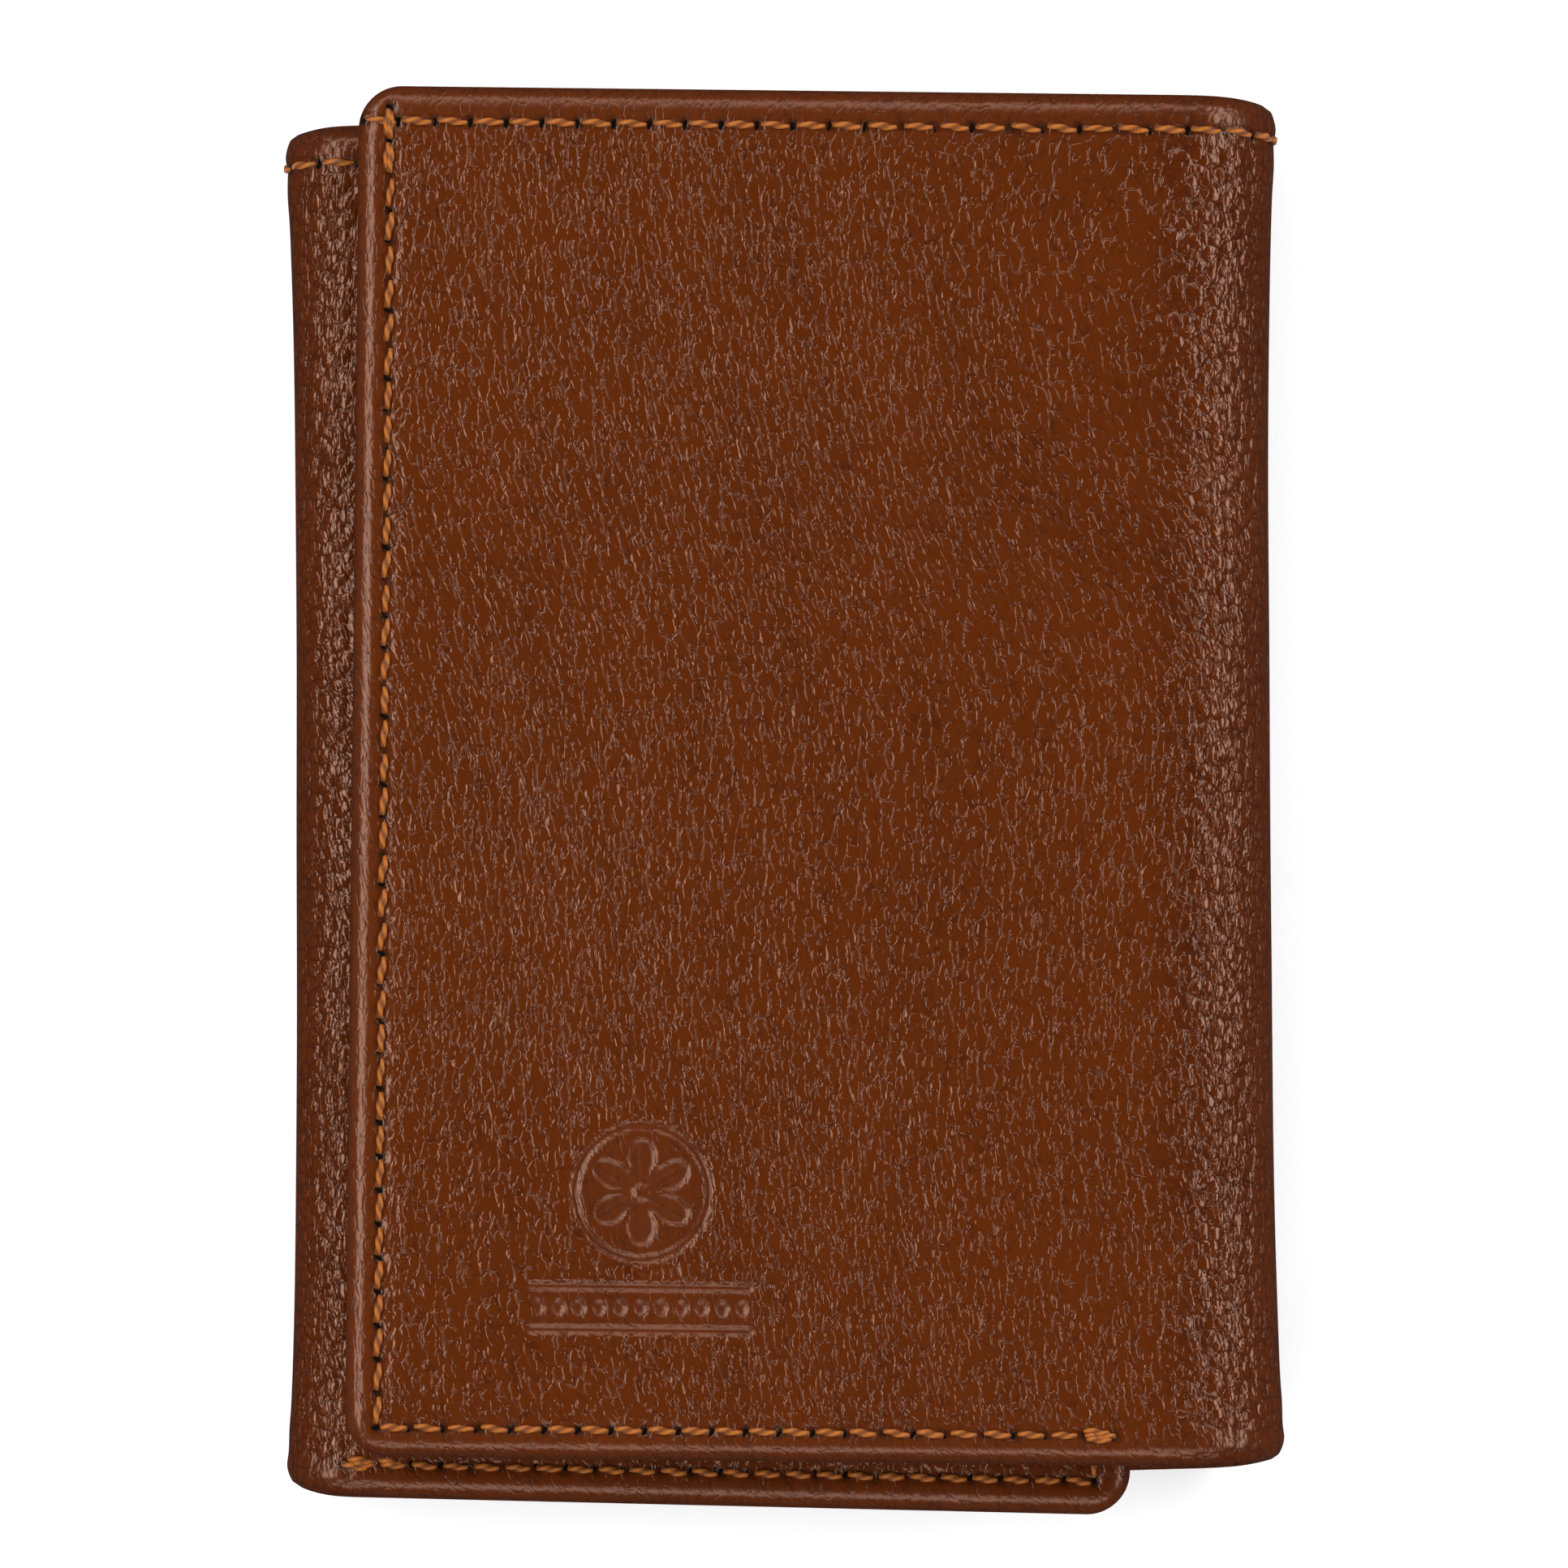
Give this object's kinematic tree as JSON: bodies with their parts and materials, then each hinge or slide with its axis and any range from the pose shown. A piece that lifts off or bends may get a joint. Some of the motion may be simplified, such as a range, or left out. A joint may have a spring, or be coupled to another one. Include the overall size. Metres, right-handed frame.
{
  "type": "trifold wallet",
  "caption": "Folded leather wallet whose panels close over each other at two rolled folds, with a full-length bill compartment, card pockets, a card window and sewn edges.",
  "frame": {"origin": "centre of the bounding box in X and Y, on the resting face of the spine panel's cover", "axes": "+X from the left fold (between spine panel and inner flap) to the right fold (between spine panel and front flap), +Y up along the wallet's height towards the open top of the bill compartment, +Z out through the front flap"},
  "size_m": [0.0796, 0.1147, 0.0163],
  "materials": {
    "leather": "pebbled, slightly glossy cognac brown",
    "inner_leather": "fine pebble, satin brown",
    "lining": "plain woven, dark brown",
    "film": "clear soft film",
    "thread": "twisted waxed thread, orange tan"
  },
  "bodies": {
    "spine": {"spine_cover": "leather", "spine_lining": "lining", "spine_bill_wall": "inner_leather", "spine_pocket_backing": "lining", "spine_card_pocket_upper": "inner_leather", "spine_card_pocket_middle": "inner_leather", "spine_card_pocket_lower": "inner_leather", "spine_top_stitching": "thread", "spine_bottom_stitching": "thread", "spine_bill_wall_stitching": "thread", "spine_pocket_stitching": "thread"},
    "right_fold": {"right_fold_cover": "leather", "right_fold_lining": "lining", "right_fold_bill_wall": "inner_leather", "right_fold_top_stitching": "thread"},
    "front_flap": {"front_flap_cover": "leather", "front_flap_lining": "lining", "front_flap_bill_wall": "inner_leather", "front_flap_pocket_backing": "lining", "front_flap_card_pocket_upper": "inner_leather", "front_flap_card_pocket_middle": "inner_leather", "front_flap_card_pocket_lower": "inner_leather", "front_flap_top_stitching": "thread", "front_flap_edge_stitching": "thread", "front_flap_bill_wall_stitching": "thread", "front_flap_pocket_stitching": "thread"},
    "left_fold": {"left_fold_cover": "leather", "left_fold_lining": "lining", "left_fold_bill_wall": "inner_leather", "left_fold_top_stitching": "thread"},
    "inner_flap": {"inner_flap_cover": "leather", "inner_flap_lining": "lining", "inner_flap_bill_wall": "inner_leather", "inner_flap_pocket_backing": "lining", "inner_flap_window_frame": "inner_leather", "inner_flap_window_film": "film", "inner_flap_top_stitching": "thread", "inner_flap_edge_stitching": "thread", "inner_flap_bill_wall_stitching": "thread", "inner_flap_pocket_stitching": "thread"}
  },
  "joints": [
    {"name": "right_fold_lower", "type": "hinge", "parent": "spine", "child": "right_fold", "pos_m": [0.03721, 0.00005, 0.00219], "axis": [-0.0079, 1, 0], "range_deg": [0, 90]},
    {"name": "right_fold_upper", "type": "hinge", "parent": "right_fold", "child": "front_flap", "pos_m": [0.03721, 0.00005, 0.01381], "axis": [-0.0079, 1, 0], "range_deg": [0, 90]},
    {"name": "left_fold_lower", "type": "hinge", "parent": "spine", "child": "left_fold", "pos_m": [-0.03786, -0.00001, 0.00154], "axis": [0.0017, -1, 0], "range_deg": [0, 15]},
    {"name": "left_fold_upper", "type": "hinge", "parent": "left_fold", "child": "inner_flap", "pos_m": [-0.03786, -0.00001, 0.00846], "axis": [0.0017, -1, 0], "range_deg": [0, 15]}
  ],
  "couplings": [
    {"joint": "right_fold_upper", "follows": "right_fold_lower", "ratio": 1},
    {"joint": "left_fold_lower", "follows": "right_fold_lower", "ratio": 0.1666},
    {"joint": "left_fold_upper", "follows": "right_fold_lower", "ratio": 0.1666}
  ]
}
